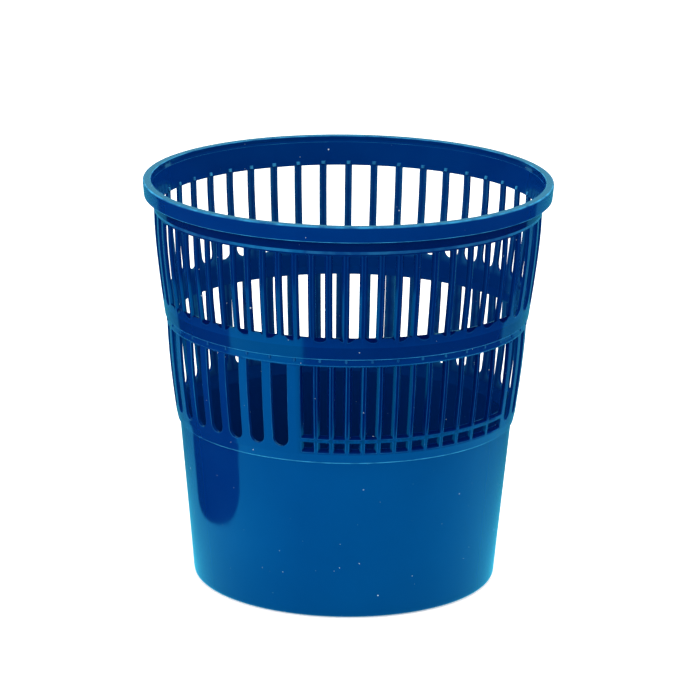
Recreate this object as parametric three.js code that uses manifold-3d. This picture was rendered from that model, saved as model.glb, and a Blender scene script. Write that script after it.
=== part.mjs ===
// A round office wastebasket, injection moulded in polypropylene, standing upright on its base.
//
// Units are millimetres and +Z is up. The origin is the centre of the face that the basket stands on,
// and the front of the basket looks along -Y. An azimuth is measured around +Z from the front, in
// degrees, and grows towards +X.
//
// Every feature of the moulding is a solid of its own: the rolled rim, the collar under it, two
// pierced zones with a plain band between them, the shoulder, the bowl and the base. Neighbours stand
// a hairline apart. Each pierced zone has a front panel, whose slots are close together, and right,
// back and left panels, whose slots are wide.

import * as THREE from 'three';
import { mergeVertices } from 'three/addons/utils/BufferGeometryUtils.js';
import Module from 'manifold-3d';

// ---------------------------------------------------------------- driving dimensions

const HEIGHT = 300;               // floor to the top of the rim
const RIM_RADIUS = 150;           // outermost radius, on the rolled rim
const WALL = 2.4;                 // thickness of the moulded wall
const SEAM = 0.3;                 // hairline between neighbouring solids

const FLANGE_WIDTH = 5.9;         // flat top of the rim, measured along the radius
const FLANGE_THICKNESS = 2.6;
const RIM_EDGE_RADIUS = 1.8;      // rounding of the rim's outer top edge
const SKIRT_BOTTOM = 288.4;       // lower edge of the lip that hangs from the flange
const SKIRT_TAPER = 0.8;          // the lip leans in by this much at its lower edge

const COLLAR_BOTTOM = 278.4;      // the collar's lower edge, where the upper slots begin
const COLLAR_STEP = 0.7;          // the collar stands proud of the pierced wall below it
const COLLAR_DRAFT = 0.4;         // it widens by this much up to the hollow under the lip
const LIP_HOLLOW = { drop: 1, rise: 3, clearance: 1 };   // where the collar runs up into the lip
const UPPER_TOP_RADIUS = 142;
const UPPER_SWELL = { radius: 142, height: 255 };
const UPPER_SLOTS = { bottom: 215.2, top: 277 };
const UPPER_GRILLE_BOTTOM = 209;

const BAND_BOTTOM = 199.8;        // the plain middle band ends in a small step here
const BAND_BOTTOM_RADIUS = 133.9;
const BAND_STEP = 1.1;
const LEDGE_DRAFT = 0.4;
const LEDGE_BOTTOM = 194.4;       // narrow ledge band between the step and the lower slots
const LOWER_TOP_RADIUS = 132.6;
const LOWER_SWELL = { radius: 132, height: 170 };
const LOWER_SLOTS = { bottom: 131.4, top: 193.9 };
const LOWER_GRILLE_BOTTOM = 127.2;
const CROSS_BAR = { bottom: 136.4, top: 141.2 };

const SHOULDER_BOTTOM = 118.6;    // the wall steps in here to the bowl
const SHOULDER_TOP_RADIUS = 125.8;
const SHOULDER_TURN = { inset: 0.5, rise: 5 };   // where the sloping step becomes the wall
const BOWL_TOP_RADIUS = 122.8;
const BOWL_GROUND_RADIUS = 112;   // the bowl's slope carried down to the floor plane
const CORNER_RADIUS = 7;
const FOOT_WIDTH = 4;
const FLOOR_UNDERSIDE = 2.6;      // the floor is raised inside the foot

const BAR_WIDTH = 5.6;            // slim bar of both zones
const WIDE_BAR = 7.4;             // broad flush bar of the lower zone's wide slots

// Bars by azimuth. Close bars keep an even angle on the left of the front, then spread to the right.
const UPPER_CLOSE = { first: -69.93, step: 4.97, count: 15 };
const UPPER_SPREAD = { first: 4.7, pitch: 0.0895, count: 9 };
const UPPER_WIDE = { first: 60, step: 8, count: 29 };
const LOWER_CLOSE = [-16.1, -9.45, -4.45];
const LOWER_SPREAD = { first: 0.6, pitch: 0.0885, count: 11 };
const LOWER_WIDE = { last: 334.5, slots: 33 };
const WIDE_PANELS = ['right', 'back', 'left'];

const RING_SIDES = 60;
const WALL_STEPS = 2;             // straight stretches that stand for a swelling wall
const ARC_STEPS = 3;
const SLOT_END_STEPS = 2;
const CUTTER_REACH = 12;          // how far a slot cutter sticks out on each side of the wall
const WEDGE_REACH = 1.5 * RIM_RADIUS;
const WEDGE_STEP = 30;            // widest angle between two corners of a wedge's rim

const DEGREE = Math.PI / 180;
const FULL_TURN = 360;

// ---------------------------------------------------------------- materials

const PLASTIC_COLOUR = 0x00508f;
const PLASTIC = { roughness: 0.28, metalness: 0 };

function plastic() {
  return new THREE.MeshStandardMaterial({ color: PLASTIC_COLOUR, ...PLASTIC });
}

// ---------------------------------------------------------------- solids

const wasm = await Module();
wasm.setup();

function toSolid(geometry) {
  geometry.deleteAttribute('normal');
  geometry.deleteAttribute('uv');
  const merged = mergeVertices(geometry, 1e-4);
  const mesh = new wasm.Mesh({
    numProp: 3,
    vertProperties: new Float32Array(merged.attributes.position.array),
    triVerts: new Uint32Array(merged.index.array),
  });
  return new wasm.Manifold(mesh);
}

function toGeometry(solid) {
  const { vertProperties, triVerts } = solid.getMesh();
  const geometry = new THREE.BufferGeometry();
  geometry.setAttribute('position', new THREE.BufferAttribute(new Float32Array(vertProperties), 3));
  geometry.setIndex(new THREE.BufferAttribute(new Uint32Array(triVerts), 1));
  geometry.computeVertexNormals();
  return geometry;
}

// A profile is a list of [radius, height] points, anticlockwise with the radius to the right.
function turned(profile) {
  const closed = [...profile, profile[0]].map(([radius, height]) => new THREE.Vector2(radius, height));
  const geometry = new THREE.LatheGeometry(closed, RING_SIDES);
  geometry.rotateX(Math.PI / 2);
  return geometry;
}

// A disc's profile runs from the axis out and back to the axis.
function turnedDisc(profile) {
  const open = profile.map(([radius, height]) => new THREE.Vector2(radius, height));
  const geometry = new THREE.LatheGeometry(open, RING_SIDES);
  geometry.rotateX(Math.PI / 2);
  return geometry;
}

function arc(centreRadius, centreHeight, radius, fromDegrees, toDegrees) {
  return Array.from({ length: ARC_STEPS + 1 }, (_, step) => {
    const angle = (fromDegrees + (toDegrees - fromDegrees) * step / ARC_STEPS) * DEGREE;
    return [centreRadius + radius * Math.cos(angle), centreHeight + radius * Math.sin(angle)];
  });
}

// ---------------------------------------------------------------- the wall's outer radius

// A swelling wall is a quadratic curve between two [radius, height] ends.
function swellingWall(bottomRadius, bottom, swell, topRadius, top) {
  const heightAt = (t) => (1 - t) ** 2 * bottom + 2 * t * (1 - t) * swell.height + t ** 2 * top;
  const radiusAt = (t) => (1 - t) ** 2 * bottomRadius + 2 * t * (1 - t) * swell.radius + t ** 2 * topRadius;
  const middle = bottom - 2 * swell.height + top;
  const slope = 2 * (swell.height - bottom);
  return (height) => {
    const root = Math.sqrt(slope ** 2 - 4 * middle * (bottom - height));
    return radiusAt((root - slope) / (2 * middle));
  };
}

const upperRadius = swellingWall(BAND_BOTTOM_RADIUS, BAND_BOTTOM, UPPER_SWELL, UPPER_TOP_RADIUS, COLLAR_BOTTOM);
const lowerRadius = swellingWall(SHOULDER_TOP_RADIUS, LOWER_GRILLE_BOTTOM, LOWER_SWELL, LOWER_TOP_RADIUS, BAND_BOTTOM);
const bowlRadius = (height) => (
  BOWL_GROUND_RADIUS + (BOWL_TOP_RADIUS - BOWL_GROUND_RADIUS) * height / SHOULDER_BOTTOM
);

function wallBand(radiusAt, bottom, top, steps) {
  const heights = Array.from({ length: steps + 1 }, (_, step) => bottom + (top - bottom) * step / steps);
  const outer = heights.map((height) => [radiusAt(height), height]);
  const inner = heights.map((height) => [radiusAt(height) - WALL, height]).reverse();
  return turned([...outer, ...inner]);
}

// ---------------------------------------------------------------- where the bars stand

// Bars that keep an even pitch around the wall, from one azimuth by a step.
function evenBars({ first, step, count }) {
  return Array.from({ length: count }, (_, index) => first + step * index);
}

// Bars that keep an even pitch across the front, so that they spread apart around the side.
function spreadBars({ first, pitch, count }) {
  return Array.from({ length: count }, (_, index) => (
    Math.asin(Math.sin(first * DEGREE) + pitch * index) / DEGREE
  ));
}

// Even bars that fill the gap between two azimuths with a number of slots.
function fillingBars(first, last, slots) {
  return evenBars({ first, step: (last - first) / slots, count: slots + 1 });
}

const UPPER_FRONT_BARS = [...evenBars(UPPER_CLOSE), ...spreadBars(UPPER_SPREAD), UPPER_WIDE.first];
const UPPER_WIDE_BARS = [...evenBars(UPPER_WIDE), FULL_TURN + UPPER_CLOSE.first];
const LOWER_FRONT_BARS = [...LOWER_CLOSE, ...spreadBars(LOWER_SPREAD)];
const LOWER_WIDE_BARS = [
  ...fillingBars(LOWER_FRONT_BARS.at(-1), LOWER_WIDE.last, LOWER_WIDE.slots),
  FULL_TURN + LOWER_CLOSE[0],
];

// The wide bars by panel. Two neighbouring panels share the bar that they meet at.
function panelBars(bars) {
  const slotsEach = Math.ceil((bars.length - 1) / WIDE_PANELS.length);
  return WIDE_PANELS.map((_, index) => bars.slice(index * slotsEach, (index + 1) * slotsEach + 1));
}

// ---------------------------------------------------------------- slots

// One slot between two bars: a tapered outline in the plane that touches the wall, pushed through it.
function slotCutter(fromBar, toBar, barWidth, radiusAt, bottom, top, roundEnd) {
  const azimuth = (fromBar + toBar) / 2;
  const span = (toBar - fromBar) * DEGREE;
  const halfWidth = (height) => (radiusAt(height) * span - barWidth) / 2;
  const outline = new THREE.Shape();
  const low = halfWidth(bottom);
  if (roundEnd) {
    outline.moveTo(halfWidth(top), top);
    outline.lineTo(-halfWidth(top), top);
    outline.lineTo(-low, bottom + low);
    outline.absarc(0, bottom + low, low, Math.PI, 2 * Math.PI, false);
  } else {
    outline.moveTo(halfWidth(top), top);
    outline.lineTo(-halfWidth(top), top);
    outline.lineTo(-low, bottom);
    outline.lineTo(low, bottom);
  }
  const geometry = new THREE.ExtrudeGeometry(outline, {
    depth: 2 * CUTTER_REACH,
    bevelEnabled: false,
    curveSegments: SLOT_END_STEPS,
  });
  geometry.rotateX(Math.PI / 2);
  geometry.translate(0, CUTTER_REACH - radiusAt((bottom + top) / 2), 0);
  geometry.rotateZ(azimuth * DEGREE);
  return toSolid(geometry);
}

function slotRow(bars, barWidth, radiusAt, bottom, top, roundEnd) {
  return bars.slice(1).map((bar, index) => (
    slotCutter(bars[index], bar, barWidth, radiusAt, bottom, top, roundEnd)
  ));
}

// A wedge about the axis, from one azimuth to another, that keeps half a hairline clear at both ends.
function wedge(from, to) {
  const inset = SEAM / 2 / UPPER_TOP_RADIUS / DEGREE;
  const steps = Math.ceil((to - from) / WEDGE_STEP);
  const shape = new THREE.Shape();
  shape.moveTo(0, 0);
  for (let step = 0; step <= steps; step += 1) {
    const azimuth = (from + inset + (to - from - 2 * inset) * step / steps) * DEGREE;
    shape.lineTo(WEDGE_REACH * Math.sin(azimuth), -WEDGE_REACH * Math.cos(azimuth));
  }
  const geometry = new THREE.ExtrudeGeometry(shape, { depth: HEIGHT, bevelEnabled: false });
  return toSolid(geometry);
}

function grillePanel(ring, bars, slots) {
  const panel = slots.reduce((solid, slot) => solid.subtract(slot), ring);
  return toGeometry(panel.intersect(wedge(bars[0], bars.at(-1))));
}

// ---------------------------------------------------------------- the features, from the rim down

function rimFlange() {
  const underside = HEIGHT - FLANGE_THICKNESS;
  const edgeCentre = [RIM_RADIUS - RIM_EDGE_RADIUS, HEIGHT - RIM_EDGE_RADIUS];
  return turned([
    [RIM_RADIUS - FLANGE_WIDTH, underside],
    [RIM_RADIUS, underside],
    ...arc(...edgeCentre, RIM_EDGE_RADIUS, 0, 90),
    [RIM_RADIUS - FLANGE_WIDTH, HEIGHT],
  ]);
}

function rimSkirt() {
  const top = HEIGHT - FLANGE_THICKNESS - SEAM;
  return turned([
    [RIM_RADIUS - SKIRT_TAPER - WALL, SKIRT_BOTTOM],
    [RIM_RADIUS - SKIRT_TAPER, SKIRT_BOTTOM],
    [RIM_RADIUS, top],
    [RIM_RADIUS - WALL, top],
  ]);
}

function collar() {
  const top = HEIGHT - FLANGE_THICKNESS - SEAM;
  const topRadius = RIM_RADIUS - WALL - SEAM;
  const bottomRadius = UPPER_TOP_RADIUS + COLLAR_STEP;
  return turned([
    [bottomRadius, COLLAR_BOTTOM],
    [bottomRadius + COLLAR_DRAFT, SKIRT_BOTTOM - LIP_HOLLOW.drop],
    [topRadius - LIP_HOLLOW.clearance, SKIRT_BOTTOM + LIP_HOLLOW.rise],
    [topRadius, top],
    [RIM_RADIUS - FLANGE_WIDTH, top],
    [bottomRadius - COLLAR_STEP - WALL, COLLAR_BOTTOM],
  ]);
}

function upperRing() {
  return toSolid(wallBand(upperRadius, UPPER_GRILLE_BOTTOM, COLLAR_BOTTOM - SEAM, WALL_STEPS));
}

function upperPanel(bars) {
  const { bottom, top } = UPPER_SLOTS;
  return grillePanel(upperRing(), bars, slotRow(bars, BAR_WIDTH, upperRadius, bottom, top, false));
}

function middleBand() {
  return wallBand(upperRadius, BAND_BOTTOM, UPPER_GRILLE_BOTTOM - SEAM, 1);
}

function ledgeBand() {
  const bottomRadius = BAND_BOTTOM_RADIUS - BAND_STEP;
  return turned([
    [bottomRadius, LEDGE_BOTTOM],
    [bottomRadius + LEDGE_DRAFT, BAND_BOTTOM - SEAM],
    [BAND_BOTTOM_RADIUS - WALL, BAND_BOTTOM - SEAM],
    [lowerRadius(LEDGE_BOTTOM) - WALL, LEDGE_BOTTOM],
  ]);
}

function lowerRing() {
  return toSolid(wallBand(lowerRadius, LOWER_GRILLE_BOTTOM, LEDGE_BOTTOM - SEAM, WALL_STEPS));
}

function lowerFrontPanel(bars) {
  const { bottom, top } = LOWER_SLOTS;
  const slots = [
    ...slotRow(bars, BAR_WIDTH, lowerRadius, CROSS_BAR.top, top - SEAM, false),
    ...slotRow(bars, BAR_WIDTH, lowerRadius, bottom, CROSS_BAR.bottom, false),
  ];
  return grillePanel(lowerRing(), bars, slots);
}

function lowerWidePanel(bars) {
  const { bottom, top } = LOWER_SLOTS;
  return grillePanel(lowerRing(), bars, slotRow(bars, WIDE_BAR, lowerRadius, bottom, top - SEAM, true));
}

function shoulder() {
  const top = LOWER_GRILLE_BOTTOM - SEAM;
  return turned([
    [BOWL_TOP_RADIUS, SHOULDER_BOTTOM],
    [SHOULDER_TOP_RADIUS - SHOULDER_TURN.inset, SHOULDER_BOTTOM + SHOULDER_TURN.rise],
    [SHOULDER_TOP_RADIUS, top],
    [SHOULDER_TOP_RADIUS - WALL, top],
    [BOWL_TOP_RADIUS - WALL, SHOULDER_BOTTOM],
  ]);
}

function bowl() {
  return wallBand(bowlRadius, CORNER_RADIUS + SEAM, SHOULDER_BOTTOM - SEAM, 1);
}

const CORNER_CENTRE = bowlRadius(CORNER_RADIUS) - CORNER_RADIUS;

function baseCorner() {
  const innerRadius = CORNER_RADIUS - WALL;
  return turned([
    [CORNER_CENTRE - FOOT_WIDTH, 0],
    ...arc(CORNER_CENTRE, CORNER_RADIUS, CORNER_RADIUS, -90, 0),
    ...arc(CORNER_CENTRE, CORNER_RADIUS, innerRadius, 0, -90),
    [CORNER_CENTRE - FOOT_WIDTH, WALL],
  ]);
}

function baseFloor() {
  const edge = CORNER_CENTRE - FOOT_WIDTH - SEAM;
  return turnedDisc([
    [0, FLOOR_UNDERSIDE],
    [edge, FLOOR_UNDERSIDE],
    [edge, FLOOR_UNDERSIDE + WALL],
    [0, FLOOR_UNDERSIDE + WALL],
  ]);
}

// ---------------------------------------------------------------- assembly

function widePanels(zone, bars, makePanel) {
  return Object.fromEntries(panelBars(bars).map((own, index) => (
    [`${zone}_${WIDE_PANELS[index]}`, makePanel(own)]
  )));
}

const FEATURES = {
  rim_flange: rimFlange(),
  rim_skirt: rimSkirt(),
  collar: collar(),
  upper_grille_front: upperPanel(UPPER_FRONT_BARS),
  ...widePanels('upper_grille', UPPER_WIDE_BARS, upperPanel),
  middle_band: middleBand(),
  ledge_band: ledgeBand(),
  lower_grille_front: lowerFrontPanel(LOWER_FRONT_BARS),
  ...widePanels('lower_grille', LOWER_WIDE_BARS, lowerWidePanel),
  shoulder: shoulder(),
  bowl: bowl(),
  base_corner: baseCorner(),
  base_floor: baseFloor(),
};

const wastebasket = new THREE.Group();
for (const [name, geometry] of Object.entries(FEATURES)) {
  const mesh = new THREE.Mesh(geometry, plastic());
  mesh.name = name;
  wastebasket.add(mesh);
}

export default wastebasket;
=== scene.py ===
"""A round slotted office wastebasket in glossy dark-blue polypropylene, on a pale floor.

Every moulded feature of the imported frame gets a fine-surfaced piece that is named after it. Units are
metres and +Z is up. An azimuth is measured around +Z from the front, which looks along -Y, and grows
towards +X. A profile point is (radius, height).
"""

import math
from collections import namedtuple

import bmesh
import bpy
from mathutils import Matrix, Vector


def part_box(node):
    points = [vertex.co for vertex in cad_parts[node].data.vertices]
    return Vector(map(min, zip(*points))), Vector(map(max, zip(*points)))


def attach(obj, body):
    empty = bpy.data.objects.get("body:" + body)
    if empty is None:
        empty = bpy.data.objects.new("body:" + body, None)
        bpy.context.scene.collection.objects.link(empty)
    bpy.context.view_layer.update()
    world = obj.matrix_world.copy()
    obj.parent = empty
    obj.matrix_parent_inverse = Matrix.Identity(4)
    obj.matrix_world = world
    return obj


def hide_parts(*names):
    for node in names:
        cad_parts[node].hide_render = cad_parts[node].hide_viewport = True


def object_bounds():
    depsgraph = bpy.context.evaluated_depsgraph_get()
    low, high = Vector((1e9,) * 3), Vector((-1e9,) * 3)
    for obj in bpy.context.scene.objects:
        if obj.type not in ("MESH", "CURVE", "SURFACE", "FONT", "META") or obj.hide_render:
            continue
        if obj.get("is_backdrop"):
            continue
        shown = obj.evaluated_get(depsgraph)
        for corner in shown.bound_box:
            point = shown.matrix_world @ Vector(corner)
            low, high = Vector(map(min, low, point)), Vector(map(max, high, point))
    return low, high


MM = 0.001
FULL_TURN = 2 * math.pi

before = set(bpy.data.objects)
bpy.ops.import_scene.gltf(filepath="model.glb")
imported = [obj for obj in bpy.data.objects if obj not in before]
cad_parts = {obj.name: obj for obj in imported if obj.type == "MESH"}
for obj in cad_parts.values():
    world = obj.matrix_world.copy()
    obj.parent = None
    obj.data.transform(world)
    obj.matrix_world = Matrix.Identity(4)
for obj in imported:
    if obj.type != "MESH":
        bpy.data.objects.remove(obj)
cad_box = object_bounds()


def between(start, end, share):
    return start + (end - start) * share


def low(node):
    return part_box(node)[0]


def high(node):
    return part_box(node)[1]


# ------------------------------------------------------------------ dimensions

HEIGHT = high("rim_flange").z
RIM_RADIUS = high("rim_flange").x
SKIRT_BOTTOM = low("rim_skirt").z
COLLAR_BOTTOM = low("collar").z
UPPER_GRILLE_BOTTOM = low("upper_grille_front").z
BAND_BOTTOM = low("middle_band").z
LEDGE_BOTTOM = low("ledge_band").z
LOWER_GRILLE_BOTTOM = low("lower_grille_front").z
SHOULDER_BOTTOM = low("shoulder").z
BASE_CORNER_TOP = high("base_corner").z
FLOOR_UNDERSIDE = low("base_floor").z
FLOOR_RADIUS = high("base_floor").x

WALL = 2.4 * MM
FLANGE_WIDTH = 5.9 * MM
FLANGE_THICKNESS = 2.6 * MM
RIM_EDGE = 1.8 * MM
SKIRT_TAPER = 0.8 * MM
SKIRT_THICKNESS = 2.2 * MM
COLLAR_STEP = 0.7 * MM
UPPER_TOP_RADIUS = 142 * MM
BAND_BOTTOM_RADIUS = 133.9 * MM
BAND_STEP = 1.1 * MM
LOWER_TOP_RADIUS = 132.6 * MM
SHOULDER_TOP_RADIUS = 125.8 * MM
BOWL_TOP_RADIUS = 122.8 * MM
BOWL_GROUND_RADIUS = 112 * MM
CORNER_RADIUS = 7 * MM

# The walls of the two pierced zones swell: a quadratic curve pulled towards this point.
UPPER_SWELL = (142 * MM, 255 * MM)
LOWER_SWELL = (132 * MM, 170 * MM)

SLIM_BAR = 5.6 * MM
BROAD_BAR = 7.4 * MM              # the lower wide slots stand between broad bars
CORNER_BAR = 11.3 * MM            # the bar where the lower close slots begin
UPPER_SLOTS = (216.2 * MM, 277.0 * MM)
UPPER_WIDE_SLOTS = (213.0 * MM, 277.9 * MM)
LOWER_SLOTS = (131.6 * MM, 193.9 * MM)
CROSS_BAR = (136.2 * MM, 141.6 * MM)

TURNED_SIDES = 240
FILLET_STEPS = 5
WALL_STEPS = 8


# ------------------------------------------------------------------ where the bars stand


Bar = namedtuple("Bar", "azimuth width")


def even_bars(first, step, count, width):
    """Bars at an even angle."""
    return [Bar(math.radians(first + step * index), width) for index in range(count)]


def spread_bars(first, pitch, count, width):
    """Bars that are even across the front, and so spread apart around the side."""
    start = math.sin(math.radians(first))
    return [Bar(math.asin(start + pitch * index), width) for index in range(count)]


def one_bar(azimuth, width):
    return Bar(math.radians(azimuth), width)


# Azimuths and steps are in degrees. A pitch is a distance across the front, as a share of the radius.
WIDE_STEP = 8.0                   # from one wide slot of the upper zone to the next
UPPER_CLOSE_BARS = dict(first=-69.93, step=4.97, count=15)
UPPER_SPREAD_BARS = dict(first=4.7, pitch=0.0895, count=9)
UPPER_WIDE_BARS = dict(first=60, step=WIDE_STEP, count=29)
LOWER_CORNER = -16.1              # where the corner bar stands
LOWER_CLOSE_BARS = dict(first=-9.45, step=5.0, count=2)
LOWER_SPREAD_BARS = dict(first=0.6, pitch=0.0885, count=10)
LOWER_WIDE_BARS = dict(first=63.6, step=8.466, count=33)

UPPER_FRONT = [
    *even_bars(**UPPER_CLOSE_BARS, width=SLIM_BAR),
    *spread_bars(**UPPER_SPREAD_BARS, width=SLIM_BAR),
    one_bar(UPPER_WIDE_BARS["first"], SLIM_BAR),
]
UPPER_WIDE = [
    *even_bars(**UPPER_WIDE_BARS, width=SLIM_BAR),
    one_bar(360 + UPPER_CLOSE_BARS["first"], SLIM_BAR),
]
LOWER_FRONT = [
    one_bar(LOWER_CORNER, CORNER_BAR),
    *even_bars(**LOWER_CLOSE_BARS, width=SLIM_BAR),
    *spread_bars(**LOWER_SPREAD_BARS, width=SLIM_BAR),
    one_bar(LOWER_WIDE_BARS["first"], BROAD_BAR),
]
LOWER_WIDE = [
    *even_bars(**LOWER_WIDE_BARS, width=BROAD_BAR),
    one_bar(360 + LOWER_CORNER, CORNER_BAR),
]
WIDE_PANELS = ("right", "back", "left")


def panel_bars(bars):
    """The wide bars by panel. Neighbouring panels share the bar that they meet at."""
    each = math.ceil((len(bars) - 1) / len(WIDE_PANELS))
    return {side: bars[index * each:(index + 1) * each + 1] for index, side in enumerate(WIDE_PANELS)}


# ------------------------------------------------------------------ the wall's outer radius


def swelling_wall(bottom_radius, bottom, swell, top_radius, top):
    """The outer radius by height on a quadratic curve from a bottom to a top."""
    swell_radius, swell_height = swell
    bend = bottom - 2 * swell_height + top
    slope = 2 * (swell_height - bottom)

    def radius_at(height):
        root = math.sqrt(slope ** 2 - 4 * bend * (bottom - height))
        t = (root - slope) / (2 * bend)
        return (1 - t) ** 2 * bottom_radius + 2 * t * (1 - t) * swell_radius + t ** 2 * top_radius

    return radius_at


upper_radius = swelling_wall(BAND_BOTTOM_RADIUS, BAND_BOTTOM, UPPER_SWELL, UPPER_TOP_RADIUS, COLLAR_BOTTOM)
lower_radius = swelling_wall(
    SHOULDER_TOP_RADIUS, LOWER_GRILLE_BOTTOM, LOWER_SWELL, LOWER_TOP_RADIUS, BAND_BOTTOM
)


def bowl_radius(height):
    return BOWL_GROUND_RADIUS + (BOWL_TOP_RADIUS - BOWL_GROUND_RADIUS) * height / SHOULDER_BOTTOM


# ------------------------------------------------------------------ material


def noise(tree, vector, scale, detail):
    node = tree.nodes.new("ShaderNodeTexNoise")
    node.inputs["Scale"].default_value = scale
    node.inputs["Detail"].default_value = detail
    tree.links.new(vector, node.inputs["Vector"])
    return node.outputs["Fac"]


def remap(tree, value, from_low, from_high, to_low, to_high):
    node = tree.nodes.new("ShaderNodeMapRange")
    for socket, number in zip(node.inputs[1:5], (from_low, from_high, to_low, to_high)):
        socket.default_value = number
    tree.links.new(value, node.inputs["Value"])
    return node.outputs["Result"]


def blend_colour(tree, amount, base, over):
    """base where amount is 0, over where it is 1. Each is a colour or a socket."""
    node = tree.nodes.new("ShaderNodeMix")
    node.data_type = "RGBA"
    tree.links.new(amount, node.inputs["Factor"])
    for socket, colour in ((node.inputs["A"], base), (node.inputs["B"], over)):
        if isinstance(colour, bpy.types.NodeSocket):
            tree.links.new(colour, socket)
        else:
            socket.default_value = (*colour, 1)
    return node.outputs["Result"]


def combine(tree, operation, first, second):
    node = tree.nodes.new("ShaderNodeMath")
    node.operation = operation
    for socket, value in zip(node.inputs, (first, second)):
        if isinstance(value, bpy.types.NodeSocket):
            tree.links.new(value, socket)
        else:
            socket.default_value = value
    return node.outputs["Value"]


def bump(tree, height, depth, normal=None):
    node = tree.nodes.new("ShaderNodeBump")
    node.inputs["Distance"].default_value = depth
    node.inputs["Strength"].default_value = BUMP_STRENGTH
    tree.links.new(height, node.inputs["Height"])
    if normal is not None:
        tree.links.new(normal, node.inputs["Normal"])
    return node.outputs["Normal"]


PLASTIC_BLUE = (0.0, 0.023, 0.138)
PLASTIC_DEEP = (0.0, 0.019, 0.126)
# A highlight colour painted on edges, and a shade colour painted into recesses.
HIGHLIGHT_BLUE = (0.035, 0.275, 0.510)
SHADED_BLUE = (0.0, 0.003, 0.050)
GLOSS_TINT = (0.02, 0.70, 1.0)
GLOSS_LEVEL = 0.9
SPECK_WHITE = (0.55, 0.62, 0.70)
PLASTIC_IOR = 1.49
ROUGHNESS = (0.07, 0.12)

# Each noise by its waves per metre and its layers of detail.
CLOUDS = dict(scale=14, detail=3)
# The next noise makes the painted edge highlight patchy.
HIGHLIGHT_PATCHES = dict(scale=90, detail=3)
SPECKS = dict(scale=420, detail=1)
SMEARS = dict(scale=26, detail=2)
WAVES = dict(scale=45, detail=1)
SKIN = dict(scale=900, detail=1)

# The stretch of a noise's values that is spread over its whole effect.
MIDDLE_VALUES = (0.35, 0.65)
SMEAR_VALUES = (0.3, 0.7)
SPECK_VALUES = (0.80, 0.84)       # only the highest peaks

HIGHLIGHT_SHARE = (0.2, 0.7)         # how much of an edge's painted highlight shows
WAVE_DEPTH = 0.0006
SKIN_DEPTH = 0.00006
BUMP_STRENGTH = 0.12


def moulded_plastic():
    """Glossy pigmented polypropylene: faint flow clouds, a wavy skin and dust specks, with painted light.

    The painted light of a point is above 0 where a highlight is painted along a fine edge, in patches, and
    below 0 where shade is painted into a recess, under the lip or onto a bar's face.
    """
    material = bpy.data.materials.new("moulded_plastic")
    material.use_nodes = True
    tree = material.node_tree
    shader = tree.nodes["Principled BSDF"]
    shader.inputs["IOR"].default_value = PLASTIC_IOR
    shader.inputs["Specular Tint"].default_value = (*GLOSS_TINT, 1)
    shader.inputs["Specular IOR Level"].default_value = GLOSS_LEVEL
    place = tree.nodes.new("ShaderNodeTexCoord").outputs["Object"]

    clouds = remap(tree, noise(tree, place, **CLOUDS), *MIDDLE_VALUES, 0, 1)
    colour = blend_colour(tree, clouds, PLASTIC_DEEP, PLASTIC_BLUE)
    painted_light = tree.nodes.new("ShaderNodeAttribute")
    painted_light.attribute_name = "painted_light"
    # Above 0, a highlight is painted along the edge, in patches.
    patchy = remap(tree, noise(tree, place, **HIGHLIGHT_PATCHES), *MIDDLE_VALUES, *HIGHLIGHT_SHARE)
    highlighted = combine(tree, "MULTIPLY", painted_light.outputs["Fac"], patchy)
    colour = blend_colour(tree, highlighted, colour, HIGHLIGHT_BLUE)
    # Below 0, shade is painted in.
    shaded = remap(tree, painted_light.outputs["Fac"], 0, -1, 0, 1)
    colour = blend_colour(tree, shaded, colour, SHADED_BLUE)
    specks = remap(tree, noise(tree, place, **SPECKS), *SPECK_VALUES, 0, 1)
    colour = blend_colour(tree, specks, colour, SPECK_WHITE)
    tree.links.new(colour, shader.inputs["Base Color"])

    smears = remap(tree, noise(tree, place, **SMEARS), *SMEAR_VALUES, *ROUGHNESS)
    tree.links.new(smears, shader.inputs["Roughness"])

    waves = bump(tree, noise(tree, place, **WAVES), WAVE_DEPTH)
    skin = bump(tree, noise(tree, place, **SKIN), SKIN_DEPTH, waves)
    tree.links.new(skin, shader.inputs["Normal"])
    return material


PLASTIC = moulded_plastic()


# ------------------------------------------------------------------ making a piece


def add_object(name, points, faces, painted_light):
    """A mesh object in the plastic, with the painted light of each point."""
    mesh = bpy.data.meshes.new(name)
    mesh.from_pydata([tuple(point) for point in points], [], faces)
    mesh.attributes.new("painted_light", "FLOAT", "POINT").data.foreach_set("value", painted_light)
    mesh.materials.append(PLASTIC)
    piece = bpy.data.objects.new(name, mesh)
    bpy.context.scene.collection.objects.link(piece)
    return piece


WELD = 1e-6                       # points nearer than this are one
CREASE = math.radians(32)         # a sharper edge is shaded as a crease


def finish_piece(piece, node):
    """Welds the piece, turns its faces out, smooths it, and lets it stand for its node of the frame."""
    mesh = bmesh.new()
    mesh.from_mesh(piece.data)
    bmesh.ops.remove_doubles(mesh, verts=mesh.verts, dist=WELD)
    bmesh.ops.dissolve_degenerate(mesh, edges=mesh.edges, dist=WELD)
    bmesh.ops.recalc_face_normals(mesh, faces=mesh.faces)
    for face in mesh.faces:
        face.smooth = True
    for edge in mesh.edges:
        edge.smooth = edge.calc_face_angle(0) < CREASE
    mesh.to_mesh(piece.data)
    mesh.free()
    weighted = piece.modifiers.new("weighted_normal", "WEIGHTED_NORMAL")
    weighted.keep_sharp = True
    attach(piece, "root")
    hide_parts(node)
    return piece


HIGHLIGHTED_ROUNDING = 2 * MM     # a rounder corner gets no painted highlight
# The strength of the highlight painted along a fine rounded edge.
EDGE_HIGHLIGHT = 1.5
LONGEST_REACH = 0.49              # how much of a side an arc may take, so that two arcs don't meet


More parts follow.
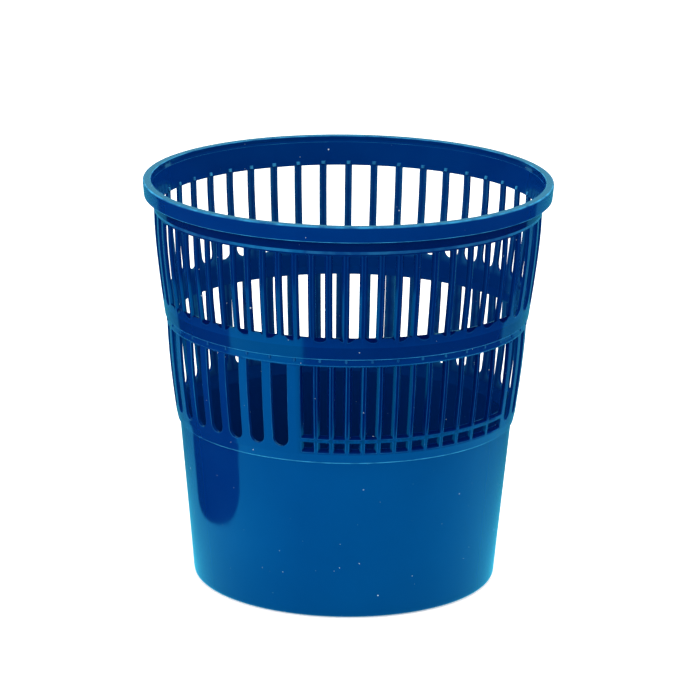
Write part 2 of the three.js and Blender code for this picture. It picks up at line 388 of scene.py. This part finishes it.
def fillet(before, corner, after, rounding):
    """The arc that replaces a corner of an outline, as a list of points."""
    into = (before - corner).normalized()
    out = (after - corner).normalized()
    half = into.angle(out) / 2
    shorter_side = min((before - corner).length, (after - corner).length)
    reach = min(rounding / math.tan(half), LONGEST_REACH * shorter_side)
    start, end = corner + into * reach, corner + out * reach
    points = []
    for step in range(FILLET_STEPS + 1):
        t = step / FILLET_STEPS
        points.append((1 - t) ** 2 * start + 2 * t * (1 - t) * corner + t ** 2 * end)
    return points


def rounded_outline(corners):
    """A closed outline from corners, as points and their painted light.

    A corner is (radius, height, rounding), and a sharp one may add its painted light.
    """
    points, painted_light = [], []
    count = len(corners)
    for index, (radius, height, rounding, *corner_light) in enumerate(corners):
        corner = Vector((radius, height))
        if rounding == 0:
            points.append(corner)
            painted_light.append(corner_light[0] if corner_light else 0.0)
            continue
        before = Vector(corners[index - 1][:2])
        after = Vector(corners[(index + 1) % count][:2])
        arc = fillet(before, corner, after, rounding)
        points.extend(arc)
        # A fine rounding gets a painted highlight along its middle.
        highlight = EDGE_HIGHLIGHT if rounding <= HIGHLIGHTED_ROUNDING else 0.0
        painted_light.extend([highlight * math.sin(math.pi * step / FILLET_STEPS) for step in range(FILLET_STEPS + 1)])
    return points, painted_light


EVEN_SIDES = [FULL_TURN * side / TURNED_SIDES for side in range(TURNED_SIDES)]


def turned(node, corners, azimuths=EVEN_SIDES, relief=None):
    """A ring or disc turned around the axis from a closed outline.

    relief(azimuth, radius, height) gives the radius and painted light of a point on a rib, or None
    elsewhere.
    """
    outline, outline_light = rounded_outline(corners)
    count = len(outline)
    points, faces, painted_light = [], [], []
    for side, azimuth in enumerate(azimuths):
        for (radius, height), point_light in zip(outline, outline_light):
            raised = relief(azimuth, radius, height) if relief else None
            if raised:
                radius, point_light = raised
            painted_light.append(point_light)
            points.append((radius * math.sin(azimuth), -radius * math.cos(azimuth), height))
        here, there = side * count, (side + 1) % len(azimuths) * count
        for index in range(count):
            after = (index + 1) % count
            faces.append((here + index, here + after, there + after, there + index))
    piece = add_object("moulded_" + node, points, faces, painted_light)
    return finish_piece(piece, node)


RIBS = round(360 / WIDE_STEP)     # ribs and bosses stand at the spacing of the wide slots
PLAIN_STEPS = 6                   # stretches of plain wall between two ribs


def rib_azimuths(first, half, foot):
    """Four stations for each rib around the wall, and some on the plain stretch between two ribs."""
    step = FULL_TURN / RIBS
    plain = [foot + (step - 2 * foot) * k / PLAIN_STEPS for k in range(1, PLAIN_STEPS)]
    around = [-foot, -half, half, foot, *plain]
    return [first + rib * step + offset for rib in range(RIBS) for offset in around]


def wall_outline(radius_at, bottom, top, edge, face_shade=0.0):
    """Corners of a wall band whose outer face follows radius_at, and may carry painted shade."""
    heights = [bottom + (top - bottom) * step / WALL_STEPS for step in range(WALL_STEPS + 1)]
    outer = [(radius_at(height), height, 0, face_shade) for height in heights]
    inner = [(radius_at(height) - WALL, height, 0) for height in reversed(heights)]
    outer[0] = (*outer[0][:2], edge)
    return outer + inner


# ------------------------------------------------------------------ pierced panels

END_STATIONS = 4                  # points on each side of a corner of a slot's outline
SIDE_STATIONS = 5
EDGE = 0.22 * MM                  # rounding of a slot's inner edge
SIDE_RISE = 1.2 * MM              # where the cell's side stations begin, from the slot's end
SQUARE_GROWTH = 0.15              # how much of a lip's width is added to a square end's rounding
SILL_DEPTHS = (0.1, 1)            # the stretch of a lip's depth that takes the sill's painted shade

# Across a lip from the wall's face to the slot: (share of the lip's width, share of its depth, painted
# light, which is a highlight above 0 and shade below 0).
CHAMFER = [
    (1.06, 0.00, -0.25),
    (0.99, 0.01, 0.20),
    (0.92, 0.05, 0.20),
    (0.84, 0.13, -0.25),
    (0.50, 0.50, -0.40),
    (0.12, 0.90, -0.60),
    (0.00, 1.05, -0.70),
]
ROUND_SHOULDER = [
    (1.04, 0.00, -0.40),
    (0.97, 0.01, -0.20),
    (0.87, 0.05, 0.55),
    (0.77, 0.13, -0.40),
    (0.64, 0.26, -0.65),
    (0.50, 0.44, -0.85),
    (0.06, 1.00, -0.95),
]
PLAIN_EDGE = [
    (1.06, 0.00, 0.00),
    (0.90, 0.04, 0.60),
    (0.70, 0.16, 0.45),
    (0.40, 0.50, 0.00),
    (0.00, 1.00, -0.50),
]

# Across the slot's inner edge: (share of the rounding sideways, share of it in depth, painted highlight).
INNER_EDGE = [(0, 1, 0), (0.3, 0.3, 0.3), (1, 0, 0.3)]

# Each lip paints shade onto the bars' faces and, for the close upper slots, into the sills.
UPPER_CLOSE_LIP = dict(
    side=1.75 * MM, bottom=0.3 * MM, top=0.25 * MM, depth=1.35 * MM,
    section=CHAMFER, pocket=True, face_shade=-0.60, sill_shade=-0.6,
)
MAIN_LIP = dict(
    side=2.0 * MM, bottom=2.9 * MM, top=0.4 * MM, depth=1.6 * MM,
    section=ROUND_SHOULDER, pocket=False, face_shade=-0.85, sill_shade=0,
)
SILL_LIP = {**MAIN_LIP, "bottom": 3.6 * MM}
PLAIN_LIP = dict(
    side=0.55 * MM, bottom=0.55 * MM, top=0.3 * MM, depth=0.55 * MM,
    section=PLAIN_EDGE, pocket=False, face_shade=-0.15, sill_shade=0,
)

# The close upper slots end in the round-ended pockets of the wide slots' spacing.
POCKET_BOTTOM = 212.5 * MM
POCKET_HALF_WIDTH = 6.6 * MM


def pocket_edge(azimuth, radius):
    """The height of the lower edge of the pocket at this azimuth, or None on the land between two."""
    step = math.radians(WIDE_STEP)
    across = ((azimuth + step / 2) % step - step / 2) * radius
    if abs(across) >= POCKET_HALF_WIDTH:
        return None
    return POCKET_BOTTOM + POCKET_HALF_WIDTH - math.sqrt(POCKET_HALF_WIDTH ** 2 - across ** 2)


def slot_quarter(half_width, rounding):
    """Points (x, rise) from the middle of a slot's rounded end out to where its side begins.

    A wide straight part takes half the stations. Otherwise they are even along the whole quarter.
    """
    straight = half_width - rounding
    arc = rounding * math.pi / 2
    points = []
    for station in range(2 * END_STATIONS + 1):
        if straight > arc:
            travelled = station / END_STATIONS * straight
            if station > END_STATIONS:
                travelled = straight + (station / END_STATIONS - 1) * arc
        else:
            travelled = (straight + arc) * station / (2 * END_STATIONS)
        if travelled <= straight:
            points.append((travelled, 0.0))
        else:
            turn = (travelled - straight) / rounding
            points.append((straight + rounding * math.sin(turn), rounding * (1 - math.cos(turn))))
    return points


class Slot:
    """One slot with its share of the wall, from the middle of one bar to the middle of the next."""

    def __init__(self, from_bar, to_bar, radius_at, cell, opening, end_rounding, lip):
        self.from_bar, self.to_bar = from_bar, to_bar
        self.centre = (from_bar.azimuth + to_bar.azimuth) / 2
        self.half_span = (to_bar.azimuth - from_bar.azimuth) / 2
        self.mean_bar = (from_bar.width + to_bar.width) / 2
        self.shift = (from_bar.width - to_bar.width) / 4    # towards the slimmer bar
        self.radius_at = radius_at
        self.cell_bottom, self.cell_top = cell
        self.bottom, self.top = opening
        self.end_rounding = end_rounding
        self.lip = lip

    def half_width(self, height):
        return self.radius_at(height) * self.half_span - self.mean_bar / 2

    def border(self):
        """The cell's edge, in the same form as the outline. Its points aren't sunk."""
        m, side = END_STATIONS, self.half_span
        side_low = self.bottom + SIDE_RISE
        side_high = self.top - SIDE_RISE
        half = [(side * k / m, self.cell_bottom) for k in range(m)]
        half += [(side, between(self.cell_bottom, side_low, k / m)) for k in range(m)]
        half += [(side, between(side_low, side_high, k / SIDE_STATIONS)) for k in range(SIDE_STATIONS)]
        half += [(side, between(side_high, self.cell_top, k / m)) for k in range(m)]
        half += [(side * (m - k) / m, self.cell_top) for k in range(m + 1)]
        return [(self.centre + x, height, 0.0) for x, height in mirrored(half)]

    def outline(self, share, offset=0.0):
        """The slot's outline, grown by a share of its lip and by an offset.

        Each point is (azimuth, height, sink), where sink is 1 along the bottom and 0 on the sides.
        """
        side = share * self.lip["side"] + offset
        bottom = self.bottom - offset
        top = self.top + share * self.lip["top"] + offset
        rounding_low = self.grown_rounding(self.end_rounding[0], bottom, side)
        rounding_high = self.grown_rounding(self.end_rounding[1], top, side)
        side_low = bottom + rounding_low
        side_high = top - rounding_high
        low_end = slot_quarter(self.half_width(side_low) + side, rounding_low)
        high_end = slot_quarter(self.half_width(side_high) + side, rounding_high)
        half = [(x, bottom + rise) for x, rise in low_end]
        for k in range(1, SIDE_STATIONS):
            height = between(side_low, side_high, k / SIDE_STATIONS)
            half.append((self.half_width(height) + side, height))
        half += [(x, top - rise) for x, rise in reversed(high_end)]
        loop = []
        for x, height in mirrored(half):
            azimuth = self.centre + (self.shift + x) / self.radius_at(height)
            sink = max(0.0, 1 - (height - bottom) / (rounding_low + self.lip["bottom"]))
            loop.append((azimuth, height - share * sink * self.bottom_drop(azimuth), sink))
        return loop

    def grown_rounding(self, rounding, height, growth):
        """A round end grows with the outline, and a square end stays nearly square."""
        if rounding < self.half_width(height):
            return rounding + SQUARE_GROWTH * growth
        return self.half_width(height) + growth

    def bottom_drop(self, azimuth):
        """How far the lip reaches below the slot."""
        if not self.lip["pocket"]:
            return self.lip["bottom"]
        edge = pocket_edge(azimuth, self.radius_at(self.bottom))
        if edge is None:
            return self.lip["bottom"]
        return max(self.lip["bottom"], self.bottom - edge)

    def ring(self, loop, depth):
        """The points of an outline in space, at a depth below the wall's face."""
        points = []
        for azimuth, height, _ in loop:
            radius = self.radius_at(height) - depth
            points.append((radius * math.sin(azimuth), -radius * math.cos(azimuth), height))
        return points

    def face_shade(self):
        """The painted light along the cell's edge: shade is painted along the middle of the slim bars'
        faces.
        """
        painted_light = []
        for azimuth, height, _ in self.border():
            bar = self.to_bar if azimuth > self.centre else self.from_bar
            on_bar = bar.width <= SLIM_BAR and height > self.bottom
            painted_light.append(self.lip["face_shade"] if on_bar else 0.0)
        return painted_light

    def rings(self):
        """All loops from the wall's face through the slot to its inner side, with their painted light."""
        border = self.border()
        depth = self.lip["depth"]
        found = [(self.ring(border, 0), self.face_shade())]
        for share, sunk, painted_light in self.lip["section"]:
            loop = self.outline(share)
            # Shade is painted into the sill.
            sill = self.lip["sill_shade"] if SILL_DEPTHS[0] < sunk < SILL_DEPTHS[1] else 0.0
            found.append((self.ring(loop, sunk * depth), [painted_light + sill * sink for _, _, sink in loop]))
        for offset, inset, painted_light in INNER_EDGE:
            loop = self.outline(0, offset * EDGE)
            found.append((self.ring(loop, WALL - inset * EDGE), [painted_light] * len(loop)))
        found.append((self.ring(border, WALL), [0.0] * len(border)))
        return found


def mirrored(half):
    """A whole loop from its right half, which runs from the middle of the bottom to that of the top."""
    return half + [(-x, height) for x, height in half[-2:0:-1]]


def grille_panel(node, rows):
    """A closed panel from rows of slots. Each row is a list of Slot, from the bottom row up."""
    points, faces, painted_light = [], [], []
    for row_index, row in enumerate(rows):
        for slot_index, slot in enumerate(row):
            rings = slot.rings()
            count = len(rings[0][0])
            first = len(points)
            for ring, ring_light in rings:
                points.extend(ring)
                painted_light.extend(ring_light)
            for level in range(len(rings) - 1):
                for index in range(count):
                    after = (index + 1) % count
                    here = first + level * count
                    faces.append((here + index, here + after, here + count + after, here + count + index))
            inner = first + (len(rings) - 1) * count
            for index in open_stations(count, row_index, len(rows), slot_index, len(row)):
                after = (index + 1) % count
                faces.append((first + index, first + after, inner + after, inner + index))
    piece = add_object("moulded_" + node, points, faces, painted_light)
    return finish_piece(piece, node)


def open_stations(count, row_index, rows, slot_index, slots):
    """Where a cell's edge is also the panel's edge, so that a face closes it."""
    m = END_STATIONS
    half = count // 2
    stations = []
    if row_index == 0:
        stations += list(range(m)) + list(range(count - m, count))
    if row_index == rows - 1:
        stations += list(range(half - m, half + m))
    if slot_index == slots - 1:
        stations += list(range(m, half - m))
    if slot_index == 0:
        stations += list(range(half + m, count - m))
    return stations


def slot_row(bars, radius_at, cell, opening, end_rounding, lip):
    return [
        Slot(from_bar, to_bar, radius_at, cell, opening, end_rounding, lip)
        for from_bar, to_bar in zip(bars, bars[1:])
    ]


ROUND_END = 20 * MM               # more than any slot's half width, so the end is a half circle
SQUARE_END = 0.4 * MM


def upper_grille():
    cell = (UPPER_GRILLE_BOTTOM, COLLAR_BOTTOM)
    square = (SQUARE_END, SQUARE_END)
    row = slot_row(UPPER_FRONT, upper_radius, cell, UPPER_SLOTS, square, UPPER_CLOSE_LIP)
    grille_panel("upper_grille_front", [row])
    for side, bars in panel_bars(UPPER_WIDE).items():
        row = slot_row(bars, upper_radius, cell, UPPER_WIDE_SLOTS, (ROUND_END, SQUARE_END / 2), PLAIN_LIP)
        grille_panel("upper_grille_" + side, [row])


def lower_grille():
    split = sum(CROSS_BAR) / 2
    small_cell, main_cell = (LOWER_GRILLE_BOTTOM, split), (split, LEDGE_BOTTOM)
    small = (LOWER_SLOTS[0], CROSS_BAR[0])
    main = (CROSS_BAR[1], LOWER_SLOTS[1])
    square = (SQUARE_END, SQUARE_END)
    rows = [
        slot_row(LOWER_FRONT, lower_radius, small_cell, small, square, SILL_LIP),
        slot_row(LOWER_FRONT, lower_radius, main_cell, main, square, MAIN_LIP),
    ]
    grille_panel("lower_grille_front", rows)
    cell = (LOWER_GRILLE_BOTTOM, LEDGE_BOTTOM)
    for side, bars in panel_bars(LOWER_WIDE).items():
        row = slot_row(bars, lower_radius, cell, LOWER_SLOTS, (ROUND_END, SQUARE_END), PLAIN_LIP)
        grille_panel("lower_grille_" + side, [row])


# ------------------------------------------------------------------ turned pieces, from the rim down

FINE = 0.35 * MM                  # rounding of a fine moulded edge


def rim():
    flange_bottom = HEIGHT - FLANGE_THICKNESS
    flange_inside = RIM_RADIUS - FLANGE_WIDTH
    turned("rim_flange", [
        (flange_inside, flange_bottom, 0),
        (RIM_RADIUS, flange_bottom, 0),
        (RIM_RADIUS, HEIGHT, RIM_EDGE),
        (flange_inside, HEIGHT, 2 * FINE),
    ])
    skirt_radius = RIM_RADIUS - SKIRT_TAPER
    turned("rim_skirt", [
        (skirt_radius - SKIRT_THICKNESS, SKIRT_BOTTOM, 2 * FINE),
        (skirt_radius, SKIRT_BOTTOM, 2 * FINE),
        (RIM_RADIUS, flange_bottom, 0),
        (RIM_RADIUS - SKIRT_THICKNESS, flange_bottom, 0),
    ])


COLLAR_CHAMFER = 2.2 * MM
# A highlight is painted on the collar's chamfer.
CHAMFER_HIGHLIGHT = 0.35
COLLAR_SHADE = -0.65              # shade painted on the collar's face under the lip
BOSS_HALF = math.radians(0.35)    # a small boss inside the collar over each wide bar
BOSS_FOOT = math.radians(0.75)
BOSS_BOTTOM = 0.6 * MM
BOSS_TOP = 2.6 * MM
BOSS_DEPTH = 0.8 * MM
BOSS_SLOPE = dict(low=0.3 * MM, high=0.4 * MM)
BOSS_REACH = (0.9 * BOSS_BOTTOM, 1.05 * BOSS_TOP)   # takes in a boss's own two levels only

# The collar's face leans out to the hollow under the lip, which ends inside the rim.
LIP_HOLLOW = dict(lean=0.3 * MM, drop=1 * MM, rise=3 * MM, inset=3.2 * MM, rounding=1.5 * MM)
COLLAR_TOP_INSET = 2.6 * MM
INSIDE_BEVEL = dict(inset=0.9 * MM, drop=2.2 * MM, rounding=1 * MM)
CHAMFER_END = dict(inset=0.1 * MM, rise=0.2 * MM)


def boss_radius(azimuth, radius, height):
    """A boss brings the collar's inner face in, and a highlight is painted on it."""
    step = FULL_TURN / RIBS
    across = abs(azimuth % step - step / 2)
    inside = radius < UPPER_TOP_RADIUS - WALL / 2
    rise = height - COLLAR_BOTTOM
    on_boss = across < (BOSS_HALF + BOSS_FOOT) / 2 and BOSS_REACH[0] < rise < BOSS_REACH[1]
    if inside and on_boss:
        return radius - BOSS_DEPTH, EDGE_HIGHLIGHT
    return None


def collar():
    top = HEIGHT - FLANGE_THICKNESS
    face_radius = UPPER_TOP_RADIUS + COLLAR_STEP
    inside_top = RIM_RADIUS - FLANGE_WIDTH + FINE
    foot_inside = UPPER_TOP_RADIUS - WALL
    bevel_radius = inside_top - INSIDE_BEVEL["inset"]
    bevel_foot = top - INSIDE_BEVEL["drop"]
    slope = (bevel_radius - foot_inside) / (bevel_foot - COLLAR_BOTTOM)
    boss_levels = [
        (foot_inside + slope * rise, COLLAR_BOTTOM + rise, 0)
        for rise in (BOSS_TOP + BOSS_SLOPE["high"], BOSS_TOP, BOSS_BOTTOM, BOSS_BOTTOM - BOSS_SLOPE["low"])
    ]
    chamfer_top = COLLAR_BOTTOM + COLLAR_CHAMFER
    chamfer_radius = face_radius - CHAMFER_END["inset"]
    outline = [
        (UPPER_TOP_RADIUS, COLLAR_BOTTOM, 0, CHAMFER_HIGHLIGHT),
        (chamfer_radius, chamfer_top - CHAMFER_END["inset"], 0, CHAMFER_HIGHLIGHT),
        (face_radius, chamfer_top + CHAMFER_END["rise"], 0, COLLAR_SHADE),
        (face_radius + LIP_HOLLOW["lean"], SKIRT_BOTTOM - LIP_HOLLOW["drop"], 0, COLLAR_SHADE),
        (RIM_RADIUS - LIP_HOLLOW["inset"], SKIRT_BOTTOM + LIP_HOLLOW["rise"], LIP_HOLLOW["rounding"]),
        (RIM_RADIUS - COLLAR_TOP_INSET, top, 0),
        (inside_top, top, 0),
        (bevel_radius, bevel_foot, INSIDE_BEVEL["rounding"]),
        *boss_levels,
        (foot_inside, COLLAR_BOTTOM, 0),
    ]
    turned("collar", outline, rib_azimuths(math.radians(WIDE_STEP / 2), BOSS_HALF, BOSS_FOOT), boss_radius)


BAND_EDGE = 0.9 * MM              # rounding of the middle band's lower edge
RIB_HALF = math.radians(0.28)     # half the angle that a rib covers
RIB_FOOT = math.radians(0.46)
RIB_HEIGHT = 2.4 * MM
RIB_SLOPE = 0.3 * MM              # height of the slope at a rib's foot
RIB_SET_BACK = 0.25 * MM          # a rib stays this far behind the band's face
RIB_REACH = 1.01 * RIB_HEIGHT     # takes in a rib's own levels only
# A highlight is painted on each rib.
RIB_HIGHLIGHT = 0.35
BAND_SHADE = -0.35                # shade painted on the band's face
LEDGE_BEVEL = 0.7 * MM
LEDGE_LEAN = (0.1 * MM, 0.3 * MM)   # the ledge's face leans out by these, at a rib's foot and at its top


def rib_radius(azimuth, radius, height):
    """A rib brings the ledge out towards the band above it, and a highlight is painted on it."""
    step = FULL_TURN / RIBS
    across = abs((azimuth + step / 2) % step - step / 2)
    outer = radius > BAND_BOTTOM_RADIUS - WALL / 2
    if outer and across < (RIB_HALF + RIB_FOOT) / 2 and height > BAND_BOTTOM - RIB_REACH:
        return BAND_BOTTOM_RADIUS - RIB_SET_BACK, RIB_HIGHLIGHT
    return None


def middle_bands():
    band = wall_outline(upper_radius, BAND_BOTTOM, UPPER_GRILLE_BOTTOM, BAND_EDGE, BAND_SHADE)
    turned("middle_band", band)
    ledge_radius = BAND_BOTTOM_RADIUS - BAND_STEP
    rib_foot = BAND_BOTTOM - RIB_HEIGHT
    ledge = [
        (lower_radius(LEDGE_BOTTOM), LEDGE_BOTTOM, 0),
        (ledge_radius, LEDGE_BOTTOM + LEDGE_BEVEL, FINE),
        (ledge_radius + LEDGE_LEAN[0], rib_foot - RIB_SLOPE, 0),
        (ledge_radius + LEDGE_LEAN[0], rib_foot, 0),
        (ledge_radius + LEDGE_LEAN[1], BAND_BOTTOM, 0),
        (BAND_BOTTOM_RADIUS - WALL, BAND_BOTTOM, 0),
        (lower_radius(LEDGE_BOTTOM) - WALL, LEDGE_BOTTOM, 0),
    ]
    turned("ledge_band", ledge, rib_azimuths(0, RIB_HALF, RIB_FOOT), rib_radius)


# The step from the bowl out to the slotted wall: (growth of the radius, height over the shoulder's foot).
STEP_START = (0.2 * MM, 2 * MM)
STEP_END = (1.7 * MM, 2.6 * MM)
STEP_ROUNDING = 0.6 * MM


def shoulder():
    turned("shoulder", [
        (BOWL_TOP_RADIUS, SHOULDER_BOTTOM, 0),
        (BOWL_TOP_RADIUS + STEP_START[0], SHOULDER_BOTTOM + STEP_START[1], STEP_ROUNDING),
        (BOWL_TOP_RADIUS + STEP_END[0], SHOULDER_BOTTOM + STEP_END[1], STEP_ROUNDING),
        (SHOULDER_TOP_RADIUS, LOWER_GRILLE_BOTTOM, 0),
        (SHOULDER_TOP_RADIUS - WALL, LOWER_GRILLE_BOTTOM, 0),
        (BOWL_TOP_RADIUS - WALL, SHOULDER_BOTTOM, 0),
    ])


CORNER_INSET = 0.6 * MM           # the bowl's taper over the height of its rounded corner


def base():
    turned("bowl", wall_outline(bowl_radius, BASE_CORNER_TOP, SHOULDER_BOTTOM, 0))
    outer = bowl_radius(BASE_CORNER_TOP)
    corner = outer - CORNER_INSET
    foot = FLOOR_RADIUS
    turned("base_corner", [
        (foot, 0, 2 * FINE),
        (corner, 0, CORNER_RADIUS),
        (outer, BASE_CORNER_TOP, 0),
        (outer - WALL, BASE_CORNER_TOP, 0),
        (corner - WALL, FLOOR_UNDERSIDE + WALL, CORNER_RADIUS - WALL),
        (foot, FLOOR_UNDERSIDE + WALL, 0),
        (foot, FLOOR_UNDERSIDE, FINE),
    ])
    turned("base_floor", [
        (0, FLOOR_UNDERSIDE, 0),
        (foot, FLOOR_UNDERSIDE, 0),
        (foot, FLOOR_UNDERSIDE + WALL, 0),
        (0, FLOOR_UNDERSIDE + WALL, 0),
    ])


# ------------------------------------------------------------------ studio

FLOOR_SIZE = 12.0
SWEEP_BACK = 3.5
SWEEP_RADIUS = 1.5
SWEEP_TOP = 6.0
SWEEP_STEPS = 16
FLOOR_GAP = 0.2 * MM              # keeps the floor's face clear of the foot's
FLOOR_GLOW = 0.40
FLOOR_PAINT = (0.80, 0.80, 0.80)
WHITE = (1.0, 1.0, 1.0)
BLACK = (0.0, 0.0, 0.0)


def glowing_surface(name, colour, strength, paint=BLACK):
    material = bpy.data.materials.new(name)
    material.use_nodes = True
    shader = material.node_tree.nodes["Principled BSDF"]
    shader.inputs["Base Color"].default_value = (*paint, 1)
    shader.inputs["Roughness"].default_value = 1
    shader.inputs["Specular IOR Level"].default_value = 0
    shader.inputs["Emission Color"].default_value = (*colour, 1)
    shader.inputs["Emission Strength"].default_value = strength
    return material


def studio_floor():
    """A pale floor that curves up behind the basket."""
    profile = [(-FLOOR_SIZE, -FLOOR_GAP), (SWEEP_BACK - SWEEP_RADIUS, -FLOOR_GAP)]
    for step in range(1, SWEEP_STEPS + 1):
        turn = math.pi / 2 * step / SWEEP_STEPS
        across = SWEEP_BACK - SWEEP_RADIUS + SWEEP_RADIUS * math.sin(turn)
        profile.append((across, SWEEP_RADIUS * (1 - math.cos(turn))))
    profile.append((SWEEP_BACK, SWEEP_TOP))
    points = [(side * FLOOR_SIZE, across, up) for across, up in profile for side in (-1, 1)]
    faces = [(2 * row, 2 * row + 1, 2 * row + 3, 2 * row + 2) for row in range(len(profile) - 1)]
    mesh = bpy.data.meshes.new("studio_floor")
    mesh.from_pydata(points, [], faces)
    mesh.shade_smooth()
    mesh.materials.append(glowing_surface("floor_paint", WHITE, FLOOR_GLOW, FLOOR_PAINT))
    floor = bpy.data.objects.new("studio_floor", mesh)
    floor.visible_glossy = False
    bpy.context.scene.collection.objects.link(floor)
    floor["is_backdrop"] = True


TABLE_COLOUR = (0.08, 0.74, 1.0)
TABLE_REACH = 8.0
TABLE_DEPTH = -2 * MM
UNLIT_DEPTH = -1 * MM
# The table's glow grows from the back to the front, each as (y, strength). It is stronger on two
# patches beside the basket, each as (place, size, added strength).
GLOW_BACK = (0.25, 0.50)
GLOW_FRONT = (0.0, 1.25)
GLOW_PATCHES = [((-0.19, -0.10, 0), 0.15, 0.42), ((0.21, -0.08, 0), 0.15, 0.15)]


def table_glow():
    """A table top that is brightest beside the basket."""
    material = glowing_surface("table_glow", TABLE_COLOUR, 1)
    tree = material.node_tree
    place = tree.nodes.new("ShaderNodeTexCoord").outputs["Object"]
    split = tree.nodes.new("ShaderNodeSeparateXYZ")
    tree.links.new(place, split.inputs["Vector"])
    glow = remap(tree, split.outputs["Y"], GLOW_FRONT[0], GLOW_BACK[0], GLOW_FRONT[1], GLOW_BACK[1])
    for centre, size, strength in GLOW_PATCHES:
        distance = tree.nodes.new("ShaderNodeVectorMath")
        distance.operation = "DISTANCE"
        distance.inputs[1].default_value = centre
        tree.links.new(place, distance.inputs[0])
        patch = remap(tree, distance.outputs["Value"], 0, size, strength, 0)
        glow = combine(tree, "ADD", glow, patch)
    tree.links.new(glow, tree.nodes["Principled BSDF"].inputs["Emission Strength"])
    return material


def reflected_card(name, outline, material):
    """A flat card that only reflections see, from its outline in space."""
    mesh = bpy.data.meshes.new(name)
    mesh.from_pydata(outline, [], [list(range(len(outline)))])
    mesh.materials.append(material)
    card = bpy.data.objects.new(name, mesh)
    bpy.context.scene.collection.objects.link(card)
    card.visible_camera = False
    card.visible_diffuse = False
    card.visible_shadow = False
    card.visible_transmission = False
    card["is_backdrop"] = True


# Sectors of the floor around the basket, from a near radius to a far one. The near edge of the front
# one recedes by its opening towards the right.
UNLIT_FRONT = dict(near=0.360, far=5.0, left=math.radians(-24.5), right=math.radians(107), opening=0.025)
SURROUNDINGS = dict(near=0.68, far=8.0, left=math.radians(-125), right=math.radians(125), opening=0)
SECTOR_STEPS = 24

# The outline of the stand, each corner as (x, y, rounding).
DARK_STAND = [(-0.212, -0.108, 0.085), (-0.212, 0.062, 0.085), (-3.0, 2.70, 0), (-3.0, -0.69, 0)]
BACKDROP = dict(colour=(0.30, 1.0, 1.0), strength=0.75, y=3.4, low=0.75, high=3.0, half_width=4.0)
CORNER_SIGNS = ((-1, -1), (1, -1), (1, 1), (-1, 1))


def sector(near, far, left, right, opening):
    """The outline of a sector between two azimuths, as (x, y) points."""
    inner, outer = [], []
    for step in range(SECTOR_STEPS + 1):
        azimuth = between(left, right, step / SECTOR_STEPS)
        radius = near + opening * max(azimuth, 0) / right
        inner.append((radius * math.sin(azimuth), -radius * math.cos(azimuth)))
        outer.append((far * math.sin(azimuth), -far * math.cos(azimuth)))
    return inner + outer[::-1]


def reflected_room():
    """The bright table, the unlit room beyond it, a dark stand to the left and a pale backdrop."""
    table = [(TABLE_REACH * side, TABLE_REACH * end, TABLE_DEPTH) for side, end in CORNER_SIGNS]
    reflected_card("table_card", table, table_glow())
    unlit = glowing_surface("unlit_room", BLACK, 0)
    unlit_outlines = {
        "front_card": sector(**UNLIT_FRONT),
        "left_card": rounded_outline(DARK_STAND)[0],
        "surroundings_card": sector(**SURROUNDINGS),
    }
    for name, outline in unlit_outlines.items():
        reflected_card(name, [(x, y, UNLIT_DEPTH) for x, y in outline], unlit)
    levels = {-1: BACKDROP["low"], 1: BACKDROP["high"]}
    backdrop = [(BACKDROP["half_width"] * side, BACKDROP["y"], levels[end]) for side, end in CORNER_SIGNS]
    backdrop_glow = glowing_surface("backdrop_glow", BACKDROP["colour"], BACKDROP["strength"])
    reflected_card("backdrop_card", backdrop, backdrop_glow)


# Each softbox's place, the point it faces, its width and height, and its power in watts.
SOFTBOXES = {
    "overhead": ((0, 0.3, 2.6), (0, 0.1, 0), (3.0, 3.0), 55),
    "left_front": ((-1.9, -1.2, 1.4), (0, 0, 0.2), (0.9, 1.4), 22),
    "right_back": ((2.0, 0.8, 1.2), (0, 0, 0.2), (0.7, 1.6), 14),
}
AIR_GLOW = 1.0


def softbox(name, place, target, size, power):
    light = bpy.data.lights.new(name, "AREA")
    light.shape = "RECTANGLE"
    light.size, light.size_y = size
    light.energy = power
    lamp = bpy.data.objects.new(name, light)
    lamp.location = place
    lamp.rotation_euler = (Vector(target) - Vector(place)).to_track_quat("-Z", "Y").to_euler()
    lamp.visible_glossy = False
    bpy.context.scene.collection.objects.link(lamp)


def lights():
    """Soft lights and pale air. Reflections see the cards instead of them."""
    for name, settings in SOFTBOXES.items():
        softbox(name, *settings)
    world = bpy.data.worlds.new("studio_air")
    world.use_nodes = True
    background = world.node_tree.nodes["Background"]
    background.inputs["Color"].default_value = (*WHITE, 1)
    background.inputs["Strength"].default_value = AIR_GLOW
    world.cycles_visibility.glossy = False
    bpy.context.scene.world = world


CAMERA_DISTANCE = 2.6             # in front of the basket's axis
CAMERA_HEIGHT = 0.9047
CAMERA_PITCH = math.radians(15.785)
CAMERA_YAW = math.radians(0.059)
CAMERA_ROLL = math.radians(0.708)
FOCAL_SHARE = 5.219571            # focal length over the picture's width
SENSOR_MM = 36


def camera():
    lens = bpy.data.cameras.new("camera")
    lens.sensor_width = SENSOR_MM
    lens.lens = SENSOR_MM * FOCAL_SHARE
    view = bpy.data.objects.new("camera", lens)
    turn = Matrix.Rotation(-CAMERA_YAW, 4, "Z")
    turn = turn @ Matrix.Rotation(math.pi / 2 - CAMERA_PITCH, 4, "X")
    turn = turn @ Matrix.Rotation(CAMERA_ROLL, 4, "Z")
    view.matrix_world = Matrix.Translation((0, -CAMERA_DISTANCE, CAMERA_HEIGHT)) @ turn
    bpy.context.scene.collection.objects.link(view)
    bpy.context.scene.camera = view


def corners(box):
    return [list(corner) for corner in box]


rim()
collar()
upper_grille()
middle_bands()
lower_grille()
shoulder()
base()
studio_floor()
reflected_room()
lights()
camera()
bpy.context.scene.view_settings.view_transform = "Standard"

{"cad": corners(cad_box), "visual": corners(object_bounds())}
